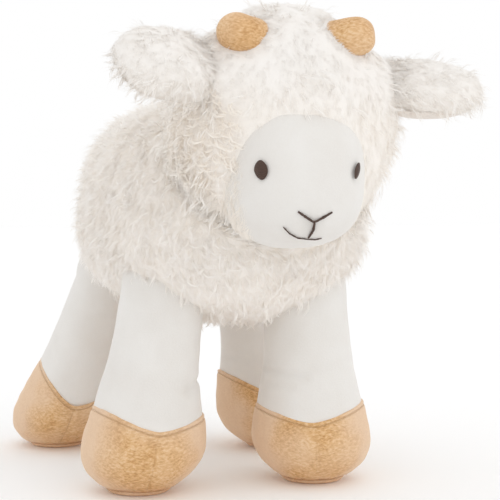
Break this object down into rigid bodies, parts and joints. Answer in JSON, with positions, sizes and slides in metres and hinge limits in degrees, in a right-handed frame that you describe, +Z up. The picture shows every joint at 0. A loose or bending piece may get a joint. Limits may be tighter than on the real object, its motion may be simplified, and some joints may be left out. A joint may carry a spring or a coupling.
{
  "type": "plush sheep",
  "caption": "Stuffed toy sheep standing upright, with curly cream fur, a smooth velour face and legs, tan hooves and horns, and sewn eyes and mouth.",
  "frame": {"origin": "under the middle of the box round the whole sheep, at the height of the soles", "axes": "+Z up, the nose points to -Y, the sheep's own left side is +X"},
  "size_m": [0.1978, 0.2694, 0.24],
  "materials": {
    "curly_fur": "matte",
    "velour": "matte",
    "tan_velour": "matte",
    "brown_thread": "satin",
    "wadding": "matte"
  },
  "bodies": {
    "body": {"body_cover": "curly_fur", "body_filling": "wadding"},
    "neck": {"neck_filling": "wadding"},
    "head": {"head_cover": "curly_fur", "face_panel": "velour", "head_filling": "wadding", "horn_cover_left": "tan_velour", "horn_filling_left": "wadding", "eye_left": "brown_thread", "horn_cover_right": "tan_velour", "horn_filling_right": "wadding", "eye_right": "brown_thread", "nose_stitching": "brown_thread", "mouth_stitching": "brown_thread"},
    "ear_left": {"ear_outer_left": "curly_fur", "ear_lining_left": "velour"},
    "ear_right": {"ear_outer_right": "curly_fur", "ear_lining_right": "velour"},
    "tail": {"tail_outer": "curly_fur", "tail_lining": "velour"},
    "leg_front_left": {"leg_cover_front_left": "velour", "leg_filling_front_left": "wadding", "hoof_cover_front_left": "tan_velour", "hoof_sole_front_left": "tan_velour"},
    "leg_front_right": {"leg_cover_front_right": "velour", "leg_filling_front_right": "wadding", "hoof_cover_front_right": "tan_velour", "hoof_sole_front_right": "tan_velour"},
    "leg_rear_left": {"leg_cover_rear_left": "velour", "leg_filling_rear_left": "wadding", "hoof_cover_rear_left": "tan_velour", "hoof_sole_rear_left": "tan_velour"},
    "leg_rear_right": {"leg_cover_rear_right": "velour", "leg_filling_rear_right": "wadding", "hoof_cover_rear_right": "tan_velour", "hoof_sole_rear_right": "tan_velour"}
  },
  "joints": [
    {"name": "neck_turn", "type": "hinge", "parent": "body", "child": "neck", "pos_m": [0.00591, -0.05976, 0.164], "axis": [0, 0, 1], "range_deg": [-12, 12], "stiffness_Nm_per_rad": 0.8},
    {"name": "head_nod", "type": "hinge", "parent": "neck", "child": "head", "pos_m": [0.00591, -0.05976, 0.164], "axis": [0.9945, -0.1045, 0], "range_deg": [-10, 8], "stiffness_Nm_per_rad": 0.8},
    {"name": "ear_flap_left", "type": "hinge", "parent": "head", "child": "ear_left", "pos_m": [0.0514, -0.09571, 0.202], "axis": [0.1205, 0.8576, 0.5], "range_deg": [-30, 30], "stiffness_Nm_per_rad": 0.03},
    {"name": "ear_flap_right", "type": "hinge", "parent": "head", "child": "ear_right", "pos_m": [-0.04154, -0.095, 0.208], "axis": [0.2717, -0.5826, -0.766], "range_deg": [-30, 30], "stiffness_Nm_per_rad": 0.03},
    {"name": "hip_front_left", "type": "hinge", "parent": "body", "child": "leg_front_left", "pos_m": [0.03591, -0.02776, 0.104], "axis": [1, 0, 0], "range_deg": [-12, 8], "stiffness_Nm_per_rad": 0.6},
    {"name": "hip_front_right", "type": "hinge", "parent": "body", "child": "leg_front_right", "pos_m": [-0.04209, -0.02776, 0.104], "axis": [1, 0, 0], "range_deg": [-12, 8], "stiffness_Nm_per_rad": 0.6},
    {"name": "hip_rear_left", "type": "hinge", "parent": "body", "child": "leg_rear_left", "pos_m": [0.03991, 0.07624, 0.104], "axis": [1, 0, 0], "range_deg": [-8, 12], "stiffness_Nm_per_rad": 0.6},
    {"name": "hip_rear_right", "type": "hinge", "parent": "body", "child": "leg_rear_right", "pos_m": [-0.04509, 0.07824, 0.104], "axis": [1, 0, 0], "range_deg": [-8, 12], "stiffness_Nm_per_rad": 0.6},
    {"name": "tail_lift", "type": "hinge", "parent": "body", "child": "tail", "pos_m": [-0.00109, 0.10724, 0.17], "axis": [-1, 0, 0], "range_deg": [-50, 0], "stiffness_Nm_per_rad": 0.03}
  ]
}
